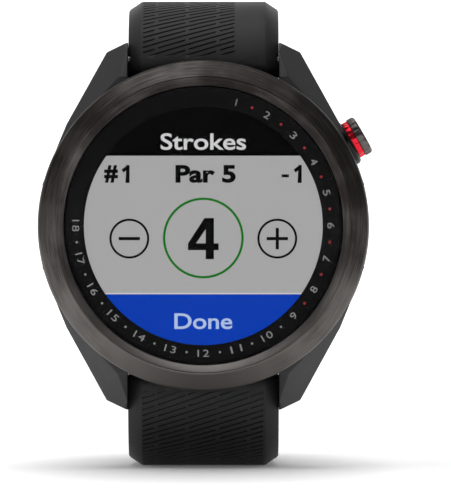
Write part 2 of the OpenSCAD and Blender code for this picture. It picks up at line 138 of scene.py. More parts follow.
def rounded(points, radius, steps=4, closed=True):
    """The outline with every corner rounded, apart from those on the axis."""
    result = []
    count = len(points)
    for i, p in enumerate(points):
        at_end = not closed and i in (0, count - 1)
        if at_end or abs(p[0]) < 1e-6:
            result.append(Vector(p))
            continue
        p = Vector(p)
        before = Vector(points[i - 1]) - p
        after = Vector(points[(i + 1) % count]) - p
        cut = min(radius, before.length * 0.45, after.length * 0.45)
        a = p + before.normalized() * cut
        b = p + after.normalized() * cut
        for k in range(steps + 1):
            t = k / steps
            result.append(a * (1 - t) ** 2 + p * 2 * t * (1 - t) + b * t * t)
    return result


def lathe_mesh(profile, closed=True, segments=160, radius_at=None):
    """Turns (radius, height) points about Z. radius_at(angle, r, h) may flute them."""
    bm = bmesh.new()
    rows = []
    for i in range(segments):
        a = 2 * math.pi * i / segments
        row = []
        for r, h in profile:
            rr = radius_at(a, r, h) if radius_at else r
            row.append(bm.verts.new((rr * math.cos(a), rr * math.sin(a), h)))
        rows.append(row)
    last = len(profile) if closed else len(profile) - 1
    for i in range(segments):
        a, b = rows[i], rows[(i + 1) % segments]
        for k in range(last):
            n = (k + 1) % len(profile)
            bm.faces.new((a[k], b[k], b[n], a[n]))
    bmesh.ops.remove_doubles(bm, verts=bm.verts, dist=1e-5)
    return bm


DIAL = Matrix.Rotation(math.radians(90), 4, "X")
BUTTON = (
    DIAL
    @ Matrix.Rotation(BUTTON_ANGLE, 4, "Z")
    @ Matrix.Translation((0, 0, BUTTON_DEPTH))
    @ Matrix.Rotation(math.radians(90), 4, "Y")
)


def moved(bm, matrix):
    bmesh.ops.transform(bm, matrix=matrix, verts=bm.verts)
    return bm


def convex(box, planes):
    """A box cut by planes, each given as (point, outward normal)."""
    bm = bmesh.new()
    lo, hi = Vector(box[0]), Vector(box[1])
    bmesh.ops.create_cube(bm, size=1)
    for v in bm.verts:
        v.co = Vector([(lo[i] if v.co[i] < 0 else hi[i]) for i in range(3)])
    for point, normal in planes:
        geometry = bm.verts[:] + bm.edges[:] + bm.faces[:]
        cut = bmesh.ops.bisect_plane(bm, geom=geometry, plane_co=point, plane_no=normal, clear_outer=True)
        edges = [e for e in cut["geom_cut"] if isinstance(e, bmesh.types.BMEdge)]
        if edges:
            bmesh.ops.contextual_create(bm, geom=edges)
    bmesh.ops.remove_doubles(bm, verts=bm.verts, dist=1e-4)
    bmesh.ops.dissolve_degenerate(bm, edges=bm.edges, dist=1e-4)
    return bm


def bevelled(bm, width, segments=3, angle=20):
    sharp = [e for e in bm.edges if len(e.link_faces) == 2 and e.calc_face_angle(0) > math.radians(angle)]
    bmesh.ops.bevel(bm, geom=sharp, offset=width, segments=segments, profile=0.5, affect="EDGES",
                    clamp_overlap=True)
    return bm


def prism(outline, x0, x1, bevel=0.0):
    """An outline in the YZ plane with width from x0 to x1."""
    bm = bmesh.new()
    face = bm.faces.new([bm.verts.new((x0, y, z)) for y, z in outline])
    made = bmesh.ops.extrude_face_region(bm, geom=[face])
    verts = [g for g in made["geom"] if isinstance(g, bmesh.types.BMVert)]
    bmesh.ops.translate(bm, vec=(x1 - x0, 0, 0), verts=verts)
    if bevel:
        bevelled(bm, bevel, segments=2, angle=50)
    return bm


def joined(*parts):
    """One bmesh of several, each kept as its own closed shell."""
    whole = bmesh.new()
    for part in parts:
        mesh = bpy.data.meshes.new("part")
        part.to_mesh(mesh)
        part.free()
        whole.from_mesh(mesh)
        bpy.data.meshes.remove(mesh)
    return whole


def ngon(radius, count, centre=(0, 0), start=0.0, sweep=2 * math.pi):
    """Points on an arc about a centre."""
    whole = abs(sweep - 2 * math.pi) < 1e-9
    steps = count if whole else count - 1
    return [
        (centre[0] + radius * math.cos(start + sweep * i / steps),
         centre[1] + radius * math.sin(start + sweep * i / steps))
        for i in range(count)
    ]

# ---------------------------------------------------------------- materials


def srgb(r, g, b):
    """Linear colour of 8-bit display values."""
    def linear(c):
        c = c / 255
        return c / 12.92 if c <= 0.04045 else ((c + 0.055) / 1.055) ** 2.4
    return (linear(r), linear(g), linear(b), 1.0)


def grey(value):
    return (value, value, value, 1.0)


class Nodes:
    """A material with its own small set of node helpers."""

    def __init__(self, name):
        self.material = bpy.data.materials.new(name)
        self.material.use_nodes = True
        self.tree = self.material.node_tree
        self.shader = self.tree.nodes["Principled BSDF"]
        self.place = self.add("ShaderNodeTexCoord").outputs["Object"]

    def add(self, kind, **settings):
        node = self.tree.nodes.new(kind)
        for key, value in settings.items():
            setattr(node, key, value)
        return node

    def link(self, source, target):
        self.tree.links.new(source, target)

    def noise(self, scale, detail=3.0, vector=None, rough=0.55):
        node = self.add("ShaderNodeTexNoise")
        node.inputs["Scale"].default_value = scale
        node.inputs["Detail"].default_value = detail
        node.inputs["Roughness"].default_value = rough
        self.link(vector or self.place, node.inputs["Vector"])
        return node.outputs["Fac"]

    def spread(self, value, low, high, start=0.3, end=0.7):
        """A noise value stretched from low to high."""
        node = self.add("ShaderNodeMapRange")
        node.inputs["From Min"].default_value = start
        node.inputs["From Max"].default_value = end
        node.inputs["To Min"].default_value = low
        node.inputs["To Max"].default_value = high
        self.link(value, node.inputs["Value"])
        return node.outputs["Result"]

    def tint(self, value, dark, light):
        """A colour between two, by a value."""
        node = self.add("ShaderNodeMix", data_type="RGBA")
        node.inputs["A"].default_value = dark
        node.inputs["B"].default_value = light
        self.link(value, node.inputs["Factor"])
        return node.outputs["Result"]

    def math(self, operation, a, b=None):
        node = self.add("ShaderNodeMath", operation=operation)
        for i, value in enumerate((a, b)):
            if isinstance(value, (int, float)):
                node.inputs[i].default_value = value
            elif value is not None:
                self.link(value, node.inputs[i])
        return node.outputs[0]

    def bump(self, height, strength, distance=0.00005):
        node = self.add("ShaderNodeBump")
        node.inputs["Strength"].default_value = strength
        node.inputs["Distance"].default_value = distance
        self.link(height, node.inputs["Height"])
        self.link(node.outputs["Normal"], self.shader.inputs["Normal"])


def shade(colour, factor):
    return (colour[0] * factor, colour[1] * factor, colour[2] * factor, 1.0)


LIT_ALBEDO = 0.12


def surface(name, colour, rough, metallic=0.0, grain=3000, variation=0.2, bump=0.15, coat=0.0, alpha=1.0,
            glow=0.0, rough_spread=0.08, specular=0.5):
    """Matt, metal or film surface with fine grain and slow mottling; a glow, where given, is painted light
    that sets its brightness by emission.
    """
    m = Nodes(name)
    fine = m.noise(grain)
    broad = m.noise(grain * 0.08, detail=2.0)
    both = m.math("MULTIPLY", m.math("ADD", fine, broad), 0.5)
    shift = m.spread(both, 0, 1)
    # With a glow the base colour is dimmed, so the painted glow sets the brightness under any light.
    body = LIT_ALBEDO if glow else 1.0
    tinted = m.tint(shift, shade(colour, body * (1 - variation)), shade(colour, body * (1 + variation)))
    m.link(tinted, m.shader.inputs["Base Color"])
    rough_value = m.spread(broad, max(rough - rough_spread, 0.02), min(rough + rough_spread, 1))
    m.link(rough_value, m.shader.inputs["Roughness"])
    m.shader.inputs["Metallic"].default_value = metallic
    m.shader.inputs["Coat Weight"].default_value = coat
    m.shader.inputs["Coat Roughness"].default_value = 0.08
    m.shader.inputs["Specular IOR Level"].default_value = specular
    m.shader.inputs["Alpha"].default_value = alpha
    # Painted glow: emission gives the surface a fixed brightness; the part is no lamp.
    if glow:
        lit = m.tint(shift, shade(colour, 1 - variation), shade(colour, 1 + variation))
        m.link(lit, m.shader.inputs["Emission Color"])
        m.shader.inputs["Emission Strength"].default_value = glow
    if bump:
        m.bump(fine, bump)
    return m.material


# Painted shade on the bezel: how strongly its tone darkens upwards, to the right and towards both sides.
PAINTED_SHADE_UP = 8.0
PAINTED_SHADE_SIDE = 1.5
PAINTED_SHADE_FLANK = 140


def ring_brushed(name, dark, light, rough):
    """Metal brushed round the dial axis, with soft darker patches, and painted shade that makes it darker
    towards the top and the sides and lighter towards the bottom.
    """
    m = Nodes(name)
    split = m.add("ShaderNodeSeparateXYZ")
    m.link(m.place, split.inputs[0])
    x, y, z = split.outputs
    radius = m.math("SQRT", m.math("ADD", m.math("MULTIPLY", x, x), m.math("MULTIPLY", z, z)))
    angle = m.math("MULTIPLY", m.math("ARCTAN2", x, z), 0.00045)
    polar = m.add("ShaderNodeCombineXYZ")
    m.link(radius, polar.inputs[0])
    m.link(angle, polar.inputs[1])
    m.link(m.math("MULTIPLY", y, 0.3), polar.inputs[2])
    lines = m.noise(9000, detail=4.0, vector=polar.outputs[0], rough=0.7)
    round_only = m.add("ShaderNodeCombineXYZ")
    m.link(angle, round_only.inputs[1])
    bands = m.noise(7000, detail=2.0, vector=round_only.outputs[0])
    slow = m.math("MULTIPLY", m.noise(190, detail=1.5), 0.5)
    patches = m.math("ADD", slow, m.math("MULTIPLY", bands, 0.5))
    grain = m.noise(5200, detail=2.0)
    mixed = m.math("ADD", m.math("MULTIPLY", lines, 0.45), m.math("MULTIPLY", patches, 0.55))
    # Painted shade: the tone is set by position, darker towards the top and the sides, lighter towards the
    # bottom.
    painted_shade = m.math("ADD", m.math("MULTIPLY", z, PAINTED_SHADE_UP), m.math("MULTIPLY", x, PAINTED_SHADE_SIDE))
    flank = m.math("SUBTRACT", m.math("MULTIPLY", x, x), m.math("MULTIPLY", z, z))
    painted_shade = m.math("ADD", painted_shade, m.math("MULTIPLY", flank, PAINTED_SHADE_FLANK))
    mixed = m.math("SUBTRACT", mixed, painted_shade)
    m.link(m.tint(m.spread(mixed, 0, 1, 0.36, 0.64), dark, light), m.shader.inputs["Base Color"])
    m.link(m.spread(patches, rough + 0.08, rough - 0.06), m.shader.inputs["Roughness"])
    m.shader.inputs["Metallic"].default_value = 1.0
    m.shader.inputs["Anisotropic"].default_value = 0.75
    tangent = m.add("ShaderNodeTangent", direction_type="RADIAL", axis="Y")
    m.link(tangent.outputs[0], m.shader.inputs["Tangent"])
    m.bump(m.math("ADD", lines, m.math("MULTIPLY", grain, 0.3)), 0.18, 0.00003)
    return m.material


def rubber(name, colour, rough, speck=2600):
    """Silicone: even and dark, with a fine moulded texture and faint dusty sheen."""
    m = Nodes(name)
    fine = m.noise(speck * 2.6, detail=4.0, rough=0.65)
    slow = m.noise(speck * 0.05, detail=2.0)
    tone = m.math("ADD", m.math("MULTIPLY", fine, 0.4), m.math("MULTIPLY", slow, 0.6))
    m.link(m.tint(m.spread(tone, 0, 1), shade(colour, 0.8), shade(colour, 1.22)),
           m.shader.inputs["Base Color"])
    m.link(m.spread(fine, rough - 0.07, rough + 0.07), m.shader.inputs["Roughness"])
    m.shader.inputs["Sheen Weight"].default_value = 0.08
    m.shader.inputs["Sheen Roughness"].default_value = 0.4
    m.bump(fine, 0.30, 0.00004)
    return m.material


SHELL = surface("shell_polymer", srgb(42, 42, 44), 0.46, grain=4200, variation=0.16, bump=0.22)
COVER = surface("cover_polymer", srgb(40, 40, 43), 0.42, grain=3600, variation=0.18, bump=0.2)
GUARD = surface("guard_polymer", srgb(5, 6, 6), 0.32, grain=4000, variation=0.2, bump=0.15, specular=0.25)
GUNMETAL = ring_brushed("bezel_gunmetal", (0.030, 0.026, 0.025, 1), (0.150, 0.138, 0.131, 1), 0.36)
CAP_METAL = surface("cap_gunmetal", (0.12, 0.11, 0.105), 0.34, metallic=1, grain=5000, variation=0.3)
RED = surface("ring_red", srgb(226, 34, 52), 0.22, metallic=0.85, grain=4200, variation=0.22, bump=0.1)
GLASS = surface("lens_clear", (0.01, 0.01, 0.011), 0.06, grain=1500, variation=0.05, bump=0, alpha=0.035,
                rough_spread=0.02, specular=0.25)
FILM = surface("touch_clear", (0.01, 0.01, 0.011), 0.2, grain=1500, variation=0.1, bump=0, alpha=0.02,
               specular=0.2)
PRINT = surface("ring_black", srgb(4, 4, 5), 0.4, grain=2400, variation=0.3, bump=0, specular=0.12)
# Printed dial figures and dots, with a painted glow so they read bright under any light.
MARK_PAINTED_GLOW = surface("mark_grey_painted_glow", srgb(150, 150, 150), 0.5, grain=5200, variation=0.14, bump=0.05, glow=0.75)
MARK_RED_PAINTED_GLOW = surface("mark_red_painted_glow", srgb(150, 30, 34), 0.5, grain=5200, variation=0.16, bump=0.05, glow=0.8)
# The screen's fields, words and circle carry a painted glow that gives them a fixed brightness by emission
# under any light.
LIT_GREY = surface("lit_grey", srgb(171, 171, 171), 0.55, grain=1400, variation=0.012, bump=0.02, glow=0.95,
                   specular=0.1)
LIT_BLUE = surface("lit_blue", srgb(3, 58, 176), 0.55, grain=1400, variation=0.02, bump=0.02, glow=0.98,
                   specular=0.1)
LIT_BLACK = surface("lit_black", srgb(3, 3, 4), 0.5, grain=1400, variation=0.2, bump=0, specular=0.05)
LIT_WHITE = surface("lit_white", srgb(212, 212, 213), 0.55, grain=1800, variation=0.02, bump=0.02, glow=0.95,
                    specular=0.1)
LIT_PALE = surface("lit_pale", srgb(180, 202, 238), 0.55, grain=1800, variation=0.03, bump=0.02, glow=0.9,
                   specular=0.1)
LIT_GREEN = surface("lit_green", srgb(24, 122, 30), 0.55, grain=1800, variation=0.05, bump=0.02, glow=0.8,
                    specular=0.1)
INK = surface("lit_ink", srgb(6, 6, 7), 0.6, grain=1800, variation=0.3, bump=0.02, specular=0.1)
SEAL = rubber("seal_rubber", (0.012, 0.012, 0.013), 0.6)
SEAL_RED = rubber("seal_red_rubber", (0.42, 0.07, 0.03), 0.5)
STRAP = rubber("strap_silicone", srgb(25, 25, 26), 0.6)
KEEPER = rubber("keeper_silicone", srgb(21, 21, 22), 0.56, speck=2400)
BUCKLE = surface("buckle_coat", (0.15, 0.14, 0.13), 0.32, metallic=1, grain=5200, variation=0.25, bump=0.18)
STEEL = surface("turned_steel", (0.38, 0.385, 0.39), 0.34, metallic=1, grain=5200, variation=0.15)
SPRING = surface("spring_wire", (0.62, 0.63, 0.64), 0.22, metallic=1, grain=6400, variation=0.12)
SCREW = surface("screw_steel", (0.34, 0.34, 0.35), 0.32, metallic=1, grain=5600, variation=0.2)
GOLD = surface("gold_plate", (0.78, 0.56, 0.22), 0.25, metallic=1, grain=5600, variation=0.12)
CELL = surface("cell_foil", (0.42, 0.43, 0.45), 0.35, metallic=1, grain=1600, variation=0.12, bump=0.25)
WHITE_FILM = surface("white_film", (0.8, 0.8, 0.77), 0.5, grain=2200, variation=0.05)
FLEX = surface("amber_flex", (0.5, 0.26, 0.08), 0.3, grain=2600, variation=0.2, coat=0.3)
FRAME_GREY = surface("frame_polymer", (0.06, 0.065, 0.075), 0.5, grain=3200, variation=0.2)
BOARD = surface("solder_mask", (0.02, 0.12, 0.05), 0.3, grain=1700, variation=0.25, coat=0.4)
CHIP = surface("chip_epoxy", (0.018, 0.018, 0.02), 0.45, grain=4800, variation=0.3)
CERAMIC = surface("fired_ceramic", (0.66, 0.62, 0.52), 0.6, grain=3800, variation=0.1)

KEPT_LOOKS = {
    "bezel_gasket": SEAL, "lens_seal": SEAL, "touch_sensor": FILM, "backlight_plate": WHITE_FILM,
    "display_flex": FLEX, "inner_frame": FRAME_GREY, "main_board": BOARD, "board_chips": CHIP,
    "gps_antenna": CERAMIC, "battery": CELL, "battery_pad": WHITE_FILM, "vibration_motor": STEEL,
    "tactile_switch": STEEL, "rear_cover": COVER, "cover_gasket": SEAL_RED, "cover_screws": SCREW,
    "contact_block": FRAME_GREY, "charge_contacts": GOLD, "button_bushing": STEEL, "button_stem": STEEL,
    "button_seals": SEAL, "button_clip": STEEL, "button_spring": SPRING, "buckle_bar": STEEL,
    "upper_bar_tube": STEEL, "upper_bar_tip": STEEL, "upper_bar_spring": SPRING,
    "upper_release_pin": STEEL, "lower_bar_tube": STEEL, "lower_bar_tip": STEEL,
    "lower_bar_spring": SPRING, "lower_release_pin": STEEL,
}
SOFTENED = {
    "rear_cover": 0.15, "contact_block": 0.1, "battery": 0.4, "main_board": 0.06, "inner_frame": 0.1,
    "gps_antenna": 0.12, "board_chips": 0.05, "vibration_motor": 0.15, "tactile_switch": 0.08,
    "battery_pad": 0.08, "charge_contacts": 0.08,
}


def finish_kept_nodes():
    """CAD nodes that stay as they are get a procedural finish, and some a softened edge."""
    for name, look in KEPT_LOOKS.items():
        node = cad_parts[name]
        node.data.materials.clear()
        node.data.materials.append(look)
        if name in SOFTENED:
            mod = node.modifiers.new("soft_edge", "BEVEL")
            mod.width = SOFTENED[name] * MM
            mod.segments = 2
            mod.limit_method = "ANGLE"
            mod.angle_limit = math.radians(50)
            mod.harden_normals = False

# ---------------------------------------------------------------- case and bezel


def add_to(obj, extra, operation="UNION"):
    """Boolean of a placed object with a bmesh in millimetres, applied to its mesh."""
    tool = place(extra, obj.name + "_tool")
    mod = obj.modifiers.new("shape", "BOOLEAN")
    mod.operation = operation
    mod.solver = "EXACT"
    mod.object = tool
    graph = bpy.context.evaluated_depsgraph_get()
    mesh = bpy.data.meshes.new_from_object(obj.evaluated_get(graph))
    old = obj.data
    obj.modifiers.clear()
    obj.data = mesh
    mesh.name = obj.name
    bpy.data.meshes.remove(old)
    bpy.data.objects.remove(tool)


def cut_away(obj, cutter):
    add_to(obj, cutter, "DIFFERENCE")


def box_mesh(low, high):
    return convex((low, high), [])


def rod(radius, y, z, x0, x1, segments=48):
    """Solid round bar along X."""
    bm = lathe_mesh([(0, x0), (radius, x0), (radius, x1), (0, x1)], closed=False, segments=segments)
    turn = Matrix.Translation((0, y, z)) @ Matrix.Rotation(math.radians(90), 4, "Y")
    return moved(bm, turn)


def dial_box(x0, x1, z0, z1, depth0, depth1):
    """A box given by its place on the dial and its two depths."""
    return box_mesh((x0, -depth1, z0), (x1, -depth0, z1))


def lug(side, end):
    """One lug as a convex block cut by its faces, in the quadrant that side and end name."""
    gap = LUG_GAP / 2
    outline = [(gap, 12), (gap, LUG_TIP), (12.8, LUG_TIP - 1.3), (18, 13.4), (21.2, 5.3), (14, 5.3)]
    profile = [(0, BODY_TOP), (END_WALL, BODY_TOP), (23.2, 5.6), (LUG_TIP, 3.9), (LUG_TIP, 1.8),
               (23.4, 0.5), (0, 0.5)]
    planes = []
    for i, (x, z) in enumerate(outline):
        nx, nz = outline[(i + 1) % len(outline)]
        planes.append((Vector((x, 0, z)), Vector((-(nz - z), 0, nx - x)).normalized()))
    for i in range(len(profile) - 1):
        (z, d), (nz, nd) = profile[i], profile[i + 1]
        normal = Vector((0, -(nz - z), -(nd - d))).normalized()
        planes.append((Vector((0, -d, z)), normal))
    planes.append((Vector((10, -5.8, 22.9)), Vector((0.588, -0.602, 0.54)).normalized()))
    middle = Vector((12.5, -3.5, 15))
    planes = [(p, n if (middle - p).dot(n) < 0 else -n) for p, n in planes]
    bm = convex(((0, -20, 0), (40, 5, 40)), planes)
    bevelled(bm, 0.16, segments=3)
    bmesh.ops.scale(bm, vec=(side, 1, end), verts=bm.verts)
    bmesh.ops.recalc_face_normals(bm, faces=bm.faces)
    return bm


def build_case():
    outer = rounded([
        (COVER_R + 0.1, 0.3), (19.6, 0.6), (21.1, 2.2), (BODY_R, 4.4), (BODY_R, 7.0),
        (BODY_R - 0.4, BODY_TOP), (19.2, BODY_TOP), (19.2, 2.6), (16.2, 2.6), (16.2, 1.9),
        (COVER_R + 0.1, 1.9),
    ], 0.3, steps=3)
    shell = moved(lathe_mesh(outer, segments=192), DIAL)
    case = place(shell, "case_shell", body="case", node="case_body", material=SHELL)
    half = LUG_GAP / 2
    for end in (-1, 1):
        wall = END_WALL - (0.15 if end > 0 else 0)
        low, high = sorted((end * wall, end * 30))
        cut_away(case, dial_box(-half, half, low, high, -2, 20))
        low, high = sorted((end * 17.8, end * wall))
        add_to(case, dial_box(-8, 8, low, high, 2.9, 7.1))
    core = [(0, -1), (20.2, -1), (20.2, 12), (0, 12)]
    for side in (-1, 1):
        for end in (-1, 1):
            piece = place(lug(side, end), "lug_work")
            cut_away(piece, moved(lathe_mesh(core, closed=False, segments=192), DIAL))
            bm = bmesh.new()
            bm.from_mesh(piece.data)
            bmesh.ops.scale(bm, vec=(1 / MM, 1 / MM, 1 / MM), verts=bm.verts)
            bpy.data.objects.remove(piece)
            add_to(case, bm)
    for end in (-1, 1):
        cut_away(case, rod(BAR_HOLE_R, -BAR_DEPTH, end * BAR_Z, -11.35, 11.35, segments=32))
    sleeve = lathe_mesh([(0, 17), (1.91, 17), (1.91, 20.59), (3.12, 20.59), (3.12, 25), (0, 25)],
                        closed=False, segments=64)
    cut_away(case, moved(sleeve, BUTTON))
    case.data.shade_smooth()
    case.data.set_sharp_from_angle(angle=math.radians(20))
    weighted = case.modifiers.new("weighted", "WEIGHTED_NORMAL")
    weighted.keep_sharp = True


def build_bezel():
    profile = rounded([
        (SEAL_R, BEZEL_SKIRT), (19.1, BEZEL_SKIRT), (19.1, BEZEL_BASE), (BEZEL_R - 0.12, BEZEL_BASE),
        (BEZEL_R, BEZEL_BASE + 0.12), (BEZEL_R, 9.32), (21.45, 9.66), (21.2, 9.88), (19.46, CREST_DEPTH),
        (CREST_R - 0.08, CREST_DEPTH), (OPENING_R, 10.66), (OPENING_R, 8.6), (SEAL_R, 8.6),
    ], 0.07, steps=3)
    bezel = place(moved(lathe_mesh(profile, segments=320), DIAL), "bezel", 24, "case",
                  "bezel_ring", GUNMETAL)
    glass = rounded([
        (0, LENS_BASE), (LENS_R, LENS_BASE), (LENS_R, LENS_TOP - 0.2),
        (LENS_R - 0.2, LENS_TOP), (0, LENS_TOP),
    ], 0.05, steps=2)
    lens = place(moved(lathe_mesh(glass, closed=False, segments=256), DIAL), "lens_glass", 40, "case",
                 "lens", GLASS)


# ---------------------------------------------------------------- dial


def lettering(text, height, centre, name, width=None, bold=0.0, turn=0.0, depths=(0, 0),
              spacing=1.0):
    """Raised figures or generic words in the built-in typeface. Returns the bmesh in millimetres."""
    curve = bpy.data.curves.new(name, "FONT")
    curve.body = text
    curve.size = 1.0
    curve.offset = bold
    curve.space_character = spacing
    curve.extrude = 0.01
    curve.resolution_u = 6
    holder = bpy.data.objects.new(name, curve)
    bpy.context.scene.collection.objects.link(holder)
    graph = bpy.context.evaluated_depsgraph_get()
    mesh = bpy.data.meshes.new_from_object(holder.evaluated_get(graph))
    bpy.data.objects.remove(holder)
    bpy.data.curves.remove(curve)
    bm = bmesh.new()
    bm.from_mesh(mesh)
    bpy.data.meshes.remove(mesh)
    bmesh.ops.remove_doubles(bm, verts=bm.verts, dist=1e-5)
    low = Vector([min(v.co[i] for v in bm.verts) for i in range(3)])
    high = Vector([max(v.co[i] for v in bm.verts) for i in range(3)])
    rise = height / (high.y - low.y)
    across = width / (high.x - low.x) if width else rise
    middle = (low + high) / 2
    base, top = depths
    for v in bm.verts:
        level = base if v.co.z < middle.z else top
        v.co = Vector(((v.co.x - middle.x) * across, (v.co.y - middle.y) * rise, level))
    bmesh.ops.transform(bm, matrix=Matrix.Rotation(turn, 4, "Z"), verts=bm.verts)
    bmesh.ops.translate(bm, vec=(centre[0], centre[1], 0), verts=bm.verts)
    return moved(bm, DIAL)


def flat_ring(radius, stroke, centre, depths, segments=96):
    inner, outer = radius - stroke / 2, radius + stroke / 2
    base, top = depths
    bm = lathe_mesh([(inner, base), (outer, base), (outer, top), (inner, top)], segments=segments)
    bmesh.ops.translate(bm, vec=(centre[0], centre[1], 0), verts=bm.verts)
    return moved(bm, DIAL)


def band(radius, low, high, depths, steps=60):
    """The part of a disc between two heights on the dial, as a thin plate."""
    right = []
    for i in range(steps + 1):
        z = low + (high - low) * i / steps
        right.append((math.sqrt(max(radius ** 2 - z ** 2, 0)), z))
    outline = right + [(-x, z) for x, z in reversed(right)]
    outline = [p for i, p in enumerate(outline) if (Vector(p) - Vector(outline[i - 1])).length > 1e-4]
    base, top = depths
    bm = bmesh.new()
    face = bm.faces.new([bm.verts.new((x, z, base)) for x, z in outline])
    made = bmesh.ops.extrude_face_region(bm, geom=[face])
    verts = [g for g in made["geom"] if isinstance(g, bmesh.types.BMVert)]
    bmesh.ops.translate(bm, vec=(0, 0, top - base), verts=verts)
    return moved(bm, DIAL)


def bar_mark(width, height, centre, depths):
    x, z = centre
    return dial_box(x - width / 2, x + width / 2, z - height / 2, z + height / 2, *depths)


# Heavy figures, as convex parts with the height as 1
ONE = (
    ((0.24, 0.0), (0.47, 0.0), (0.47, 1.0), (0.29, 1.0)),
    ((0.02, 0.74), (0.13, 0.58), (0.34, 0.74), (0.34, 0.99)),
)
FOUR = (
    ((0.43, 0.0), (0.63, 0.0), (0.63, 1.0), (0.43, 1.0)),
    ((0.0, 0.22), (0.745, 0.22), (0.745, 0.385), (0.0, 0.385)),
    ((0.0, 0.38), (0.195, 0.38), (0.44, 0.745), (0.44, 1.0), (0.40, 1.0)),
)


def glyph(parts, height, centre, depths):
    """A figure of overlapping convex plates, each a hair above the one before."""
    wide = max(x for part in parts for x, z in part)
    made = []
    for i, part in enumerate(parts):
        base, top = depths[0], depths[1] + i * 0.001
        bm = bmesh.new()
        corners = [(centre[0] + (x - wide / 2) * height, centre[1] + (z - 0.5) * height) for x, z in part]
        face = bm.faces.new([bm.verts.new((x, z, base)) for x, z in corners])
        solid = bmesh.ops.extrude_face_region(bm, geom=[face])
        verts = [g for g in solid["geom"] if isinstance(g, bmesh.types.BMVert)]
        bmesh.ops.translate(bm, vec=(0, 0, top - base), verts=verts)
        bmesh.ops.recalc_face_normals(bm, faces=bm.faces)
        made.append(moved(bm, DIAL))
    return made


SCREEN_R = 16.1
BLACK_FROM = 9.17
BLUE_BELOW = -8.99
SPLIT_LINE = 0.16
INK_DEPTHS = (PANEL_TOP - 0.05, PANEL_TOP - 0.005)
FACE_DEPTHS = (PANEL_TOP - 0.25, PANEL_TOP - 0.04)


def build_display():
    panel_base = PANEL_TOP - 1.1
    stack = rounded([(0, panel_base), (16.4, panel_base), (16.4, PANEL_TOP - 0.22), (0, PANEL_TOP - 0.22)],
                    0.08, steps=2)
    panel = place(moved(lathe_mesh(stack, closed=False), DIAL), "display_stack", 40, "case",
                  "display_panel", LIT_BLACK)
    fields = {
        "screen_header": (band(SCREEN_R, BLACK_FROM, SCREEN_R - 0.05, FACE_DEPTHS), LIT_BLACK),
        "screen_field": (band(SCREEN_R, BLUE_BELOW + SPLIT_LINE, BLACK_FROM, FACE_DEPTHS), LIT_GREY),
        "screen_line": (band(SCREEN_R, BLUE_BELOW, BLUE_BELOW + SPLIT_LINE, FACE_DEPTHS), LIT_WHITE),
        "screen_footer": (band(SCREEN_R, -SCREEN_R + 0.05, BLUE_BELOW, FACE_DEPTHS), LIT_BLUE),
    }
    for name, (bm, look) in fields.items():
        place(bm, name, 40, "case", material=look)
    mark_z = -1.7
    ink = [
        lettering("#", 2.3, (-12.1, 6.78), "hash", width=1.8, bold=0.042, depths=INK_DEPTHS),
        *glyph(ONE, 2.35, (-10.22, 6.78), INK_DEPTHS),
        lettering("Par 5", 2.35, (0.3, 6.78), "par", width=7.9, bold=0.038, depths=INK_DEPTHS),
        bar_mark(0.95, 0.38, (10.75, 6.53), INK_DEPTHS),
        *glyph(ONE, 2.35, (12.35, 6.78), INK_DEPTHS),
        *glyph(FOUR, 5.4, (0.0, mark_z), INK_DEPTHS),
        bar_mark(2.8, 0.42, (-9.7, mark_z), INK_DEPTHS),
        bar_mark(2.8, 0.42, (9.7, mark_z), INK_DEPTHS),
        bar_mark(0.42, 2.8, (9.7, mark_z), (INK_DEPTHS[0], INK_DEPTHS[1] + 0.003)),
    ]
    ink += [flat_ring(2.47, 0.29, (x, mark_z), INK_DEPTHS) for x in (-9.7, 9.7)]
    place(joined(*ink), "screen_ink", 30, "case", material=INK)
    title = lettering("Strokes", 2.2, (0.0, 11.03), "title", width=11.2, bold=0.014,
                      depths=INK_DEPTHS)
    place(title, "screen_title", 30, "case", material=LIT_WHITE)
    done = lettering("Done", 2.08, (0.0, -12.53), "done", width=7.6, bold=0.014, depths=INK_DEPTHS)
    place(done, "screen_done", 30, "case", material=LIT_PALE)
    circle = flat_ring(5.14, 0.31, (0, mark_z + 0.08), INK_DEPTHS, segments=160)
    place(circle, "screen_circle", 30, "case", material=LIT_GREEN)


NUMERAL_R = 16.72
NUMERAL_H = 0.92
MARK_DEPTHS = (PRINT_TOP - 0.02, PRINT_TOP + 0.035)


def build_numeral_ring():
    outline = [(DISPLAY_R, PRINT_BASE), (LENS_R, PRINT_BASE), (LENS_R, PRINT_TOP), (DISPLAY_R, PRINT_TOP)]
    ring = place(moved(lathe_mesh(outline, segments=256), DIAL), "numeral_ring", 40,
                 "case", "dial_ring", PRINT)
    figures = []
    for hole in range(1, 19):
        clock = math.radians(15 * hole)
        centre = (NUMERAL_R * math.sin(clock), NUMERAL_R * math.cos(clock))
        outward = hole <= 6
        turn = -clock if outward else math.pi - clock
        width = None if hole == 1 else (0.74 if hole < 10 else 1.5)
        figures.append(lettering(str(hole), NUMERAL_H, centre, f"hole_{hole}", width=width, turn=turn,
                                 depths=MARK_DEPTHS, spacing=1.12))
    place(joined(*figures), "hole_numbers", 30, "case", material=MARK_PAINTED_GLOW)
    for name, first, last, look in (("dots_red", 1, 8, MARK_RED_PAINTED_GLOW), ("dots_grey", 9, 17, MARK_PAINTED_GLOW)):
        dots = []
        dot_r = 0.19 if look is MARK_RED_PAINTED_GLOW else 0.15
        for gap in range(first, last + 1):
            clock = math.radians(15 * gap + 7.5)
            base, top = MARK_DEPTHS
            dot = lathe_mesh([(0, base), (dot_r, base), (dot_r, top), (0, top)], closed=False, segments=20)
            centre = (NUMERAL_R * math.sin(clock), NUMERAL_R * math.cos(clock), 0)
            bmesh.ops.translate(dot, vec=centre, verts=dot.verts)
            dots.append(moved(dot, DIAL))
        place(joined(*dots), name, 30, "case", material=look)


# ---------------------------------------------------------------- button


FLUTES = 14


def fluted(depth, inside):
    """Scallops round a turned part, only on its outer wall."""
    def radius_at(angle, r, h):
        if r < inside:
            return r
        return r - depth * (0.5 - 0.5 * math.cos(FLUTES * angle)) ** 2
    return radius_at


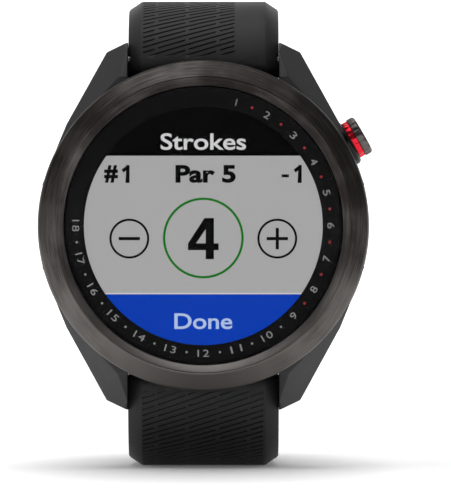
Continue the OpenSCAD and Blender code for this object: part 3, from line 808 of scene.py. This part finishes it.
def build_button():
    guard_lo, guard_hi = 20.6, 22.4
    guard = rounded([
        (1.35, 19.2), (1.9, 19.2), (1.9, guard_lo), (3.1, guard_lo), (3.1, guard_hi - 0.3),
        (2.8, guard_hi), (2.62, guard_hi), (2.62, 21.9), (1.75, 21.9), (1.75, 20.9), (1.35, 20.9),
    ], 0.08, steps=2)
    piece = place(moved(lathe_mesh(guard, segments=128), BUTTON), "button_sleeve", 30, "case",
                  "button_guard", GUARD)
    ring = rounded([(0.77, 22.42), (2.58, 22.42), (2.58, 23.2), (0.77, 23.2)], 0.1, steps=3)
    piece = place(moved(lathe_mesh(ring, segments=240, radius_at=fluted(0.09, 2.3)), BUTTON), "red_ring", 30,
                  "button", "button_ring", RED)
    cap = rounded([(0, 23.22), (2.7, 23.22), (2.7, 24.05), (2.45, 24.3), (2.1, 24.3),
                   (1.9, 24.2), (0, 24.16)],
                  0.1, steps=3, closed=False)
    piece = place(moved(lathe_mesh(cap, closed=False, segments=240, radius_at=fluted(0.11, 2.45)), BUTTON),
                  "button_crown", 30, "button", "button_cap", CAP_METAL)


# ---------------------------------------------------------------- straps


class Route:
    """The outer face of one strap half, drawn upwards as (y, z), from lug to far end."""

    def __init__(self, top, bend_r, inner_r, start_angle, back_r, end_z):
        self.bend_r = bend_r
        self.bend_c = Vector((FACE_Y + bend_r, top - bend_r))
        self.inner_c = Vector((WRIST_Y + inner_r, top - STRAP_T - inner_r))
        self.inner_r = inner_r
        self.start = math.radians(start_angle)
        self.top = top
        self.back_r = back_r + STRAP_T / 2
        self.back_c = Vector((BACK_Y, top - STRAP_T / 2 - back_r))
        self.bend_l = bend_r * (self.start - math.pi / 2)
        self.flat_l = BACK_Y - self.bend_c.x
        self.back_l = self.back_r * math.pi / 2
        self.length = self.bend_l + self.flat_l + self.back_l + (self.back_c.y - end_z)

    def at(self, s):
        """Point on the outer face, outward normal and thickness at distance s."""
        if s <= self.bend_l:
            angle = self.start - s / self.bend_r
            out = Vector((math.cos(angle), math.sin(angle)))
            q = self.bend_c - self.inner_c
            along = q.dot(out)
            reach = -along + math.sqrt(along ** 2 - q.length_squared + self.inner_r ** 2)
            return self.bend_c + out * self.bend_r, out, self.bend_r - reach
        s -= self.bend_l
        if s <= self.flat_l:
            return Vector((self.bend_c.x + s, self.top)), Vector((0, 1)), STRAP_T
        s -= self.flat_l
        if s <= self.back_l:
            angle = math.pi / 2 - s / self.back_r
            out = Vector((math.cos(angle), math.sin(angle)))
            return self.back_c + out * self.back_r, out, STRAP_T
        s -= self.back_l
        return Vector((self.back_c.x + self.back_r, self.back_c.y - s)), Vector((1, 0)), STRAP_T

    def s_at_back(self, z):
        """Distance along the route of a height on the straight back stretch."""
        return self.bend_l + self.flat_l + self.back_l + self.back_c.y - z


UPPER = Route(LOOP_TOP, 12, 7.5, 171.6, UPPER_BACK_R, BUCKLE_Z - 1.25)
LOWER = Route(LOOP_FOOT, 10, 6.0, 197.2, LOWER_BACK_R, -TAIL_Z)

SLOPE = math.tan(math.radians(19))
PITCH = 0.78
GROOVE = 0.22
GROOVE_ROWS = ((0.0, 0), (0.50, 0), (0.56, 1), (0.70, 1), (0.76, 0))
BREAKS = (-6.2, -2.15, 1.9, 6.0)
FLAT_HALF = 8.2
FULL_HALF = 9.92
EDGE_DROP = 1.15
TAPER_START_Y = 8.0
TAPER_END_Y = 42.0


def width_scale(y):
    """Straps narrow from the lugs to the buckle."""
    t = min(max((y - TAPER_START_Y) / (TAPER_END_Y - TAPER_START_Y), 0), 1)
    return (STRAP_W + (BUCKLE_END_W - STRAP_W) * t) / (2 * FULL_HALF)


def strap_columns(pattern):
    """Cross-section stations on the outer face, dense at the ends of the ribs."""
    left, right = pattern
    stops = {-FLAT_HALF + 0.12, FLAT_HALF - 0.12, left, left + 0.14, right, right - 0.14}
    for x in BREAKS:
        if left + 0.5 < x < right - 0.5:
            stops |= {x - 0.32, x - 0.2, x + 0.2, x + 0.32}
    extra = [x for x in (-7.2, -5.0, -3.6, -0.8, 0.6, 3.0, 4.6, 7.0) if all(abs(x - s) > 0.3 for s in stops)]
    return sorted(stops | set(extra))


def groove_depth(u, line, s, pattern, zone):
    """How deep the face is cut at u, on groove number line."""
    left, right = pattern
    if not left + 0.07 < u < right - 0.07:
        return 0.0
    if line % 2:
        for x in BREAKS:
            if abs(u - x) < 0.26:
                return 0.0
    first, last = zone
    fade = min(s - first, last - s) / 0.4
    return GROOVE * min(max(fade, 0.0), 1.0)


def strap_mesh(route, pattern, zone, lean, nose_r, end_r, tail_corner=0.0):
    columns = strap_columns(pattern)
    edge = [(FLAT_HALF + 0.1, 0.07), (9.0, 0.56), (9.72, 1.02), (FULL_HALF, EDGE_DROP + 0.12)]
    under = [9.5, 7.0, 3.5, 0.0, -3.5, -7.0, -9.5]
    skew = SLOPE * FULL_HALF
    stations = []
    line = 0
    v = -skew
    while v < zone[1] + skew:
        for offset, depth in GROOVE_ROWS:
            stations.append((v + offset, depth, line))
        v += PITCH
        line += 1
    while v < route.length + skew:
        stations.append((v, 0, 0))
        v += 0.9
    stations.append((route.length + skew + 0.01, 0, 0))
    bm = bmesh.new()
    rings = []

    def vertex(u, depth, s, extra=0.0):
        point, out, thick = route.at(s)
        full = thick if depth is None else depth + extra
        near = min(max(s / nose_r, 0), 1)
        far = min(max((route.length - s) / end_r, 0), 1)
        squeeze = math.sqrt(max(1 - (1 - near) ** 2, 0.02)) * math.sqrt(max(1 - (1 - far) ** 2, 0.02))
        half = thick / 2
        settled = half + (full - half) * squeeze
        where = point - out * settled
        scale = width_scale(where.x)
        if tail_corner:
            left = route.length - s
            if left < tail_corner:
                rounding = tail_corner - math.sqrt(tail_corner ** 2 - (tail_corner - left) ** 2)
                scale *= 1 - rounding / (BUCKLE_END_W / 2)
        return bm.verts.new((u * scale, where.x, where.y))

    for v, depth, line in stations:
        def s_of(u):
            return min(max(v - lean * SLOPE * u, 0), route.length)
        ring = []
        for u in columns:
            s = s_of(u)
            cut = depth * groove_depth(u, line, s, pattern, zone) if depth else 0.0
            ring.append(vertex(u, cut, s))
        for u, drop in edge:
            ring.append(vertex(u, drop, s_of(u)))
        s = s_of(FULL_HALF)
        ring.append(vertex(FULL_HALF, route.at(s)[2] - 0.35, s))
        for u in under:
            ring.append(vertex(u, None, s_of(u)))
        s = s_of(-FULL_HALF)
        ring.append(vertex(-FULL_HALF, route.at(s)[2] - 0.35, s))
        for u, drop in reversed(edge):
            ring.append(vertex(-u, drop, s_of(-u)))
        rings.append(ring)
    for a, b in zip(rings, rings[1:]):
        for i in range(len(a)):
            n = (i + 1) % len(a)
            bm.faces.new((a[i], a[n], b[n], b[i]))
    bm.faces.new(rings[0])
    bm.faces.new(list(reversed(rings[-1])))
    bmesh.ops.remove_doubles(bm, verts=bm.verts, dist=2e-4)
    bmesh.ops.dissolve_degenerate(bm, edges=bm.edges, dist=1e-4)
    return bm


def hole_cutter(route, s, length, width, reach=4.0):
    """An oblong hole straight through the strap at distance s."""
    point, out, thick = route.at(s)
    along = Vector((out.y, -out.x))
    r = width / 2
    run = length / 2 - r
    outline = ngon(r, 11, (run, 0), -math.pi / 2, math.pi) + ngon(r, 11, (-run, 0), math.pi / 2, math.pi)
    bm = bmesh.new()
    face = bm.faces.new([bm.verts.new((u, a, -reach)) for a, u in outline])
    made = bmesh.ops.extrude_face_region(bm, geom=[face])
    verts = [g for g in made["geom"] if isinstance(g, bmesh.types.BMVert)]
    bmesh.ops.translate(bm, vec=(0, 0, 2 * reach), verts=verts)
    middle = point - out * thick / 2
    for v in bm.verts:
        u, a, n = v.co
        place_at = middle + along * a + out * n
        v.co = Vector((u, place_at.x, place_at.y))
    bmesh.ops.recalc_face_normals(bm, faces=bm.faces)
    return bm


HOLE_W = 2.2
HOLE_L = 4.4
HOLE_PITCH = 6.5
USED_HOLE_Z = -5.75
BLEND_HALF = 1.4


def mirrored(bm):
    bmesh.ops.scale(bm, vec=(1, 1, -1), verts=bm.verts)
    bmesh.ops.recalc_face_normals(bm, faces=bm.faces)
    return bm


def bar_cuts(side):
    """Bore for the spring bar and the pocket for its lever."""
    z = side * BAR_Z
    pocket = box_mesh((3.8, -BAR_DEPTH, z - 0.75), (6.9, 7.4, z + 0.75))
    return rod(0.93, -BAR_DEPTH, z, -11, 11, segments=40), pocket


def build_straps():
    upper = strap_mesh(UPPER, (-8.02, 4.13), (2.6, 37.0), -1, 2.1, 1.25)
    upper = place(upper, "strap_upper", 30, node=["upper_strap", "upper_strap_end"], material=STRAP)
    for cutter in bar_cuts(1):
        cut_away(upper, cutter)
    cut_away(upper, box_mesh((-1.1, 40.5, -7.0), (1.1, 46.0, -2.4)))
    lower = strap_mesh(LOWER, (-8.02, 7.9), (2.9, 37.0), 1, 2.1, 0.7, tail_corner=6.0)
    lower = place(mirrored(lower), "strap_lower", 30,
                  node=["lower_strap", "lower_strap_tail"], material=STRAP)
    for cutter in bar_cuts(-1):
        cut_away(lower, cutter)
    used = LOWER.s_at_back(-USED_HOLE_Z)
    for i in range(-3, 4):
        cut_away(lower, mirrored(hole_cutter(LOWER, used + i * HOLE_PITCH, HOLE_L, HOLE_W)))
    for strap in (upper, lower):
        strap.data.shade_smooth()
        strap.data.set_sharp_from_angle(angle=math.radians(34))
    reach = Vector((0, BLEND_HALF, -BLEND_HALF)) * MM
    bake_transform(upper)
    reach.z = -reach.z
    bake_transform(lower)


def build_keeper(node, name, body):
    """A moulded band round both layers, with a shallow groove round its middle."""
    lo, hi = span(node)
    wall = 1.3
    half_x = hi.x - wall / 2
    y0, y1 = lo.y + wall / 2, hi.y - wall / 2
    corner = 1.35
    corners = [(half_x - corner, y1 - corner, 0), (-half_x + corner, y1 - corner, 90),
               (-half_x + corner, y0 + corner, 180), (half_x - corner, y0 + corner, 270)]
    loop = []
    for cx, cy, start in corners:
        for k in range(9):
            a = math.radians(start + 90 * k / 8)
            loop.append((Vector((cx + corner * math.cos(a), cy + corner * math.sin(a))),
                         Vector((math.cos(a), math.sin(a)))))
    half_h = (hi.z - lo.z) / 2
    middle = (hi.z + lo.z) / 2
    section = rounded([
        (-wall / 2, -half_h), (wall / 2, -half_h), (wall / 2, -0.35), (wall / 2 - 0.22, -0.15),
        (wall / 2 - 0.22, 0.15), (wall / 2, 0.35), (wall / 2, half_h), (-wall / 2, half_h),
    ], 0.42, steps=3)
    bm = bmesh.new()
    rings = [[bm.verts.new((p.x + n.x * a, p.y + n.y * a, middle + b)) for a, b in section] for p, n in loop]
    for i, ring in enumerate(rings):
        following = rings[(i + 1) % len(rings)]
        for k in range(len(ring)):
            m = (k + 1) % len(ring)
            bm.faces.new((ring[k], following[k], following[m], ring[m]))
    keeper = place(bm, name, 34, body, node, KEEPER)


# ---------------------------------------------------------------- buckle


def strip(points, width):
    """Outline of a bar of even width along a bent line, with round ends."""
    points = [Vector(p) for p in points]
    left, right = [], []
    for i, p in enumerate(points):
        before = (p - points[i - 1]).normalized() if i else None
        after = (points[i + 1] - p).normalized() if i + 1 < len(points) else None
        way = ((before or after) + (after or before)).normalized()
        side = Vector((-way.y, way.x)) * width / 2
        if before and after:
            side /= max(way.dot(after), 0.5)
        left.append(p + side)
        right.append(p - side)
    tip, way = points[-1], (points[-1] - points[-2]).normalized()
    turn = math.atan2(way.y, way.x)
    cap = [Vector(p) for p in ngon(width / 2, 9, tip, turn + math.pi / 2, -math.pi)]
    return [tuple(p) for p in left[:-1] + cap + list(reversed(right[:-1]))]


def build_buckle():
    frame_hi = span("buckle_frame")[1]
    arm_t = 1.55
    arm_out = frame_hi.x
    arm_in = arm_out - arm_t
    hinge = Vector((BUCKLE_Y, BUCKLE_Z))
    cross = Vector((frame_hi.y - 1.2, BUCKLE_Z - 9.2))
    bow = (hinge + cross) / 2 + Vector((0.25, 0.1))
    whole = None
    for side in (-1, 1):
        x0, x1 = sorted((side * arm_in, side * arm_out))
        arm = prism(strip([hinge, bow, cross], 2.4), x0, x1, bevel=0.22)
        eye = lathe_mesh(rounded([(0, -arm_t / 2), (1.6, -arm_t / 2), (1.6, arm_t / 2), (0, arm_t / 2)], 0.2,
                                 closed=False), closed=False, segments=64)
        turn = Matrix.Translation((side * (arm_in + arm_t / 2), hinge.x, hinge.y)) @ Matrix.Rotation(
            math.radians(90), 4, "Y")
        if whole is None:
            whole = place(arm, "buckle_bow", 30, "buckle", "buckle_frame", BUCKLE)
        else:
            add_to(whole, arm)
        add_to(whole, moved(eye, turn))
    notch = 1.2
    spool = rounded([
        (0, -arm_in - 0.4), (1.1, -arm_in - 0.4), (1.1, -notch - 0.25), (0.68, -notch), (0.68, notch),
        (1.1, notch + 0.25), (1.1, arm_in + 0.4), (0, arm_in + 0.4),
    ], 0.15, steps=3, closed=False)
    turn = Matrix.Translation((0, cross.x, cross.y)) @ Matrix.Rotation(math.radians(90), 4, "Y")
    add_to(whole, moved(lathe_mesh(spool, closed=False, segments=48), turn))
    cut_away(whole, rod(0.77, hinge.x, hinge.y, -12, 12, segments=48))
    whole.data.shade_smooth()
    whole.data.set_sharp_from_angle(angle=math.radians(30))

    knee, tip = Vector((48.6, -8.0)), Vector((49.9, -13.9))
    bend = [hinge, hinge + (knee - hinge) * 0.86, knee + Vector((0.15, -0.75)), tip - Vector((0.1, -0.5))]
    tongue = place(prism(strip(bend, 1.0), -0.8, 0.8, bevel=0.16), "buckle_pin", 30, "tongue",
                   "buckle_tongue", BUCKLE)
    eye = lathe_mesh(rounded([(0, -0.8), (1.25, -0.8), (1.25, 0.8), (0, 0.8)], 0.16, closed=False),
                     closed=False, segments=48)
    turn = Matrix.Translation((0, hinge.x, hinge.y)) @ Matrix.Rotation(math.radians(90), 4, "Y")
    add_to(tongue, moved(eye, turn))
    cut_away(tongue, rod(0.8, hinge.x, hinge.y, -3, 3, segments=48))
    tongue.data.shade_smooth()
    tongue.data.set_sharp_from_angle(angle=math.radians(30))


# ---------------------------------------------------------------- stage, light and camera


SHADOW_SQUEEZE = (2.6, 1, 1)
SHADOW_GLOW = 0.06
SHADOW_REACH = (0.036, 0.076)
FLOOR_REACH = (0.12, 0.9)


def stage_material(name, value, glow):
    """Pale backdrop made white by its glow, with a painted shadow: the glow is lower close to the watch."""
    m = Nodes(name)
    tone = m.spread(m.noise(14, detail=2.0), 0, 1)
    m.link(m.tint(tone, grey(value * 0.99), grey(value)), m.shader.inputs["Base Color"])
    m.shader.inputs["Roughness"].default_value = 0.9
    m.shader.inputs["Specular IOR Level"].default_value = 0.1
    m.shader.inputs["Emission Color"].default_value = grey(1.0)
    squeezed = m.add("ShaderNodeVectorMath", operation="MULTIPLY")
    squeezed.inputs[1].default_value = SHADOW_SQUEEZE
    m.link(m.place, squeezed.inputs[0])
    away = m.add("ShaderNodeVectorMath", operation="LENGTH")
    m.link(squeezed.outputs[0], away.inputs[0])
    distance = away.outputs["Value"]
    # Painted shadow: the glow drops close to the watch, under and around it.
    near_glow = m.spread(distance, SHADOW_GLOW, glow, *SHADOW_REACH)
    far_glow = m.spread(distance, 0.0, 1.0 - glow, *FLOOR_REACH)
    m.link(m.math("ADD", near_glow, far_glow), m.shader.inputs["Emission Strength"])
    return m.material


def build_stage():
    """A pale floor that curves up behind the watch."""
    floor_z = -LOOP_FOOT
    half, front, back, rise, bend = 3000, -3000, 2400, 2400, 600
    profile = [(front, floor_z)]
    for k in range(13):
        a = math.radians(-90 + 90 * k / 12)
        profile.append((back - bend + bend * math.cos(a), floor_z + bend + bend * math.sin(a)))
    profile.append((back, floor_z + rise))
    bm = bmesh.new()
    rows = [[bm.verts.new((x, y, z)) for y, z in profile] for x in (-half, half)]
    for i in range(len(profile) - 1):
        bm.faces.new((rows[0][i], rows[1][i], rows[1][i + 1], rows[0][i + 1]))
    floor = place(bm, "stage_floor", 60, material=stage_material("stage_pale", 0.86, 0.5))


def area_light(name, at, target, size, watts):
    data = bpy.data.lights.new(name, "AREA")
    data.shape = "RECTANGLE"
    data.size = size[0] * MM
    data.size_y = size[1] * MM
    data.energy = watts
    light = bpy.data.objects.new(name, data)
    light.location = Vector(at) * MM
    light.rotation_euler = (Vector(target) - Vector(at)).to_track_quat("-Z", "Y").to_euler()
    bpy.context.scene.collection.objects.link(light)


def build_light():
    area_light("top_box", (-40, -20, 480), (0, 0, 0), (420, 420), 1.0)
    area_light("left_box", (-430, -260, 150), (0, 0, 0), (260, 360), 0.29)
    area_light("low_left", (-115, -330, -5), (0, 0, -25), (100, 45), 0.036)
    area_light("low_right", (115, -330, -5), (0, 0, -25), (100, 45), 0.030)
    area_light("right_box", (430, -230, 130), (0, 0, 0), (240, 360), 0.08)
    world = bpy.data.worlds.new("studio")
    bpy.context.scene.world = world
    world.use_nodes = True
    tree = world.node_tree
    background = tree.nodes["Background"]
    split = tree.nodes.new("ShaderNodeSeparateXYZ")
    towards = tree.nodes.new("ShaderNodeMapRange")
    tree.links.new(tree.nodes.new("ShaderNodeTexCoord").outputs["Generated"], split.inputs[0])
    tree.links.new(split.outputs["Y"], towards.inputs["Value"])
    for socket, value in zip(("From Min", "From Max", "To Min", "To Max"), (-0.7, 0.2, 0.035, 0.26)):
        towards.inputs[socket].default_value = value
    tree.links.new(towards.outputs["Result"], background.inputs["Strength"])
    background.inputs["Color"].default_value = grey(1.0)


IMAGE_W, IMAGE_H = 451, 488
MM_PER_PIXEL = 0.1306
CAMERA_REACH = 700
CAMERA_TILT = -0.5
SENSOR = 36.0


def build_camera():
    """Straight on to the dial, from well back."""
    camera = bpy.data.cameras.new("camera")
    camera.sensor_width = SENSOR
    camera.sensor_fit = "AUTO"
    camera.lens = SENSOR * CAMERA_REACH / (max(IMAGE_W, IMAGE_H) * MM_PER_PIXEL)
    camera.dof.use_dof = False
    camera.clip_start = 0.01
    holder = bpy.data.objects.new("camera", camera)
    aim = Vector((2.91, -CREST_DEPTH, -2.43))
    tilt = math.radians(CAMERA_TILT)
    holder.location = (aim + Vector((0, -math.cos(tilt), math.sin(tilt))) * CAMERA_REACH) * MM
    holder.rotation_euler = (math.radians(90) - tilt, 0, 0)
    bpy.context.scene.collection.objects.link(holder)
    bpy.context.scene.camera = holder
    bpy.context.scene.view_settings.view_transform = "Standard"


finish_kept_nodes()
build_case()
build_bezel()
build_display()
build_numeral_ring()
build_button()
build_straps()
build_keeper("fixed_keeper", "keeper_fixed", "upper_end")
build_keeper("free_keeper", "keeper_free", "keeper")
build_buckle()
build_stage()
build_light()
build_camera()
